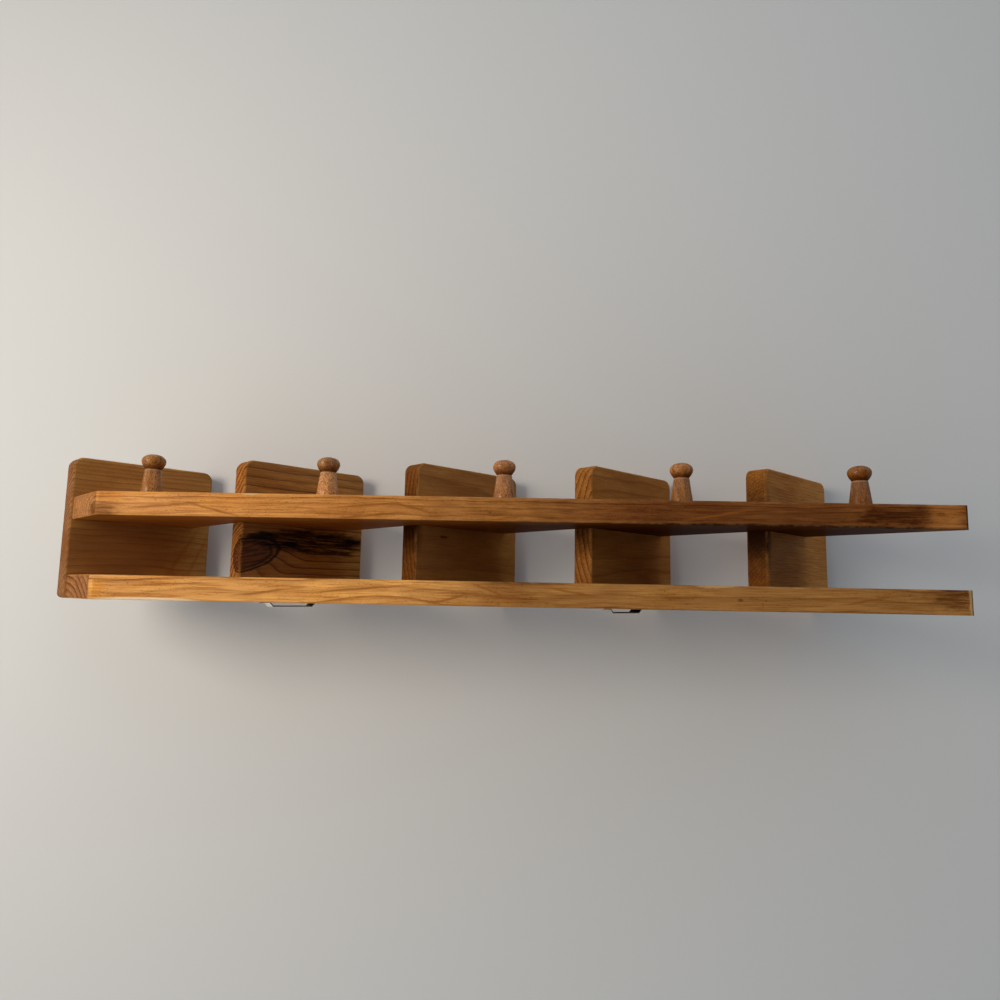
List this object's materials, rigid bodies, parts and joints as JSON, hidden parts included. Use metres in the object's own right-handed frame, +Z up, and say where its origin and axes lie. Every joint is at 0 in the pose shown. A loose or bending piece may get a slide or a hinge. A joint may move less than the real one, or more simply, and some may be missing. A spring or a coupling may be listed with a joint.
{
  "type": "stair-step wall shelf with pegs",
  "caption": "Wooden wall shelf shaped like a stair: two saw-tooth stringers carry square treads, with turned pegs along the front and saw-tooth hangers behind.",
  "frame": {"origin": "centre of the middle tread's back edge, in the plane of the wall", "axes": "+Z up as the shelf hangs, +Y into the wall, +X to the right seen from the front"},
  "size_m": [0.526, 0.1224, 0.5527],
  "materials": {
    "stringer_wood": "satin honey varnish over pine",
    "tread_wood": "satin honey varnish over pine",
    "peg_wood": "satin varnish over turned hardwood",
    "hanger_steel": "bright zinc plate",
    "nail_steel": "bright drawn wire"
  },
  "bodies": {
    "root": {"front_stringer": "stringer_wood", "back_stringer": "stringer_wood", "tread_1": "tread_wood", "tread_2": "tread_wood", "tread_3": "tread_wood", "tread_4": "tread_wood", "tread_5": "tread_wood", "peg_1": "peg_wood", "peg_2": "peg_wood", "peg_3": "peg_wood", "peg_4": "peg_wood", "peg_5": "peg_wood", "hanger_upper": "hanger_steel", "hanger_lower": "hanger_steel", "hanger_nails_upper": "nail_steel", "hanger_nails_lower": "nail_steel", "tread_nails_1": "nail_steel", "tread_nails_2": "nail_steel", "tread_nails_3": "nail_steel", "tread_nails_4": "nail_steel", "tread_nails_5": "nail_steel"}
  },
  "joints": []
}
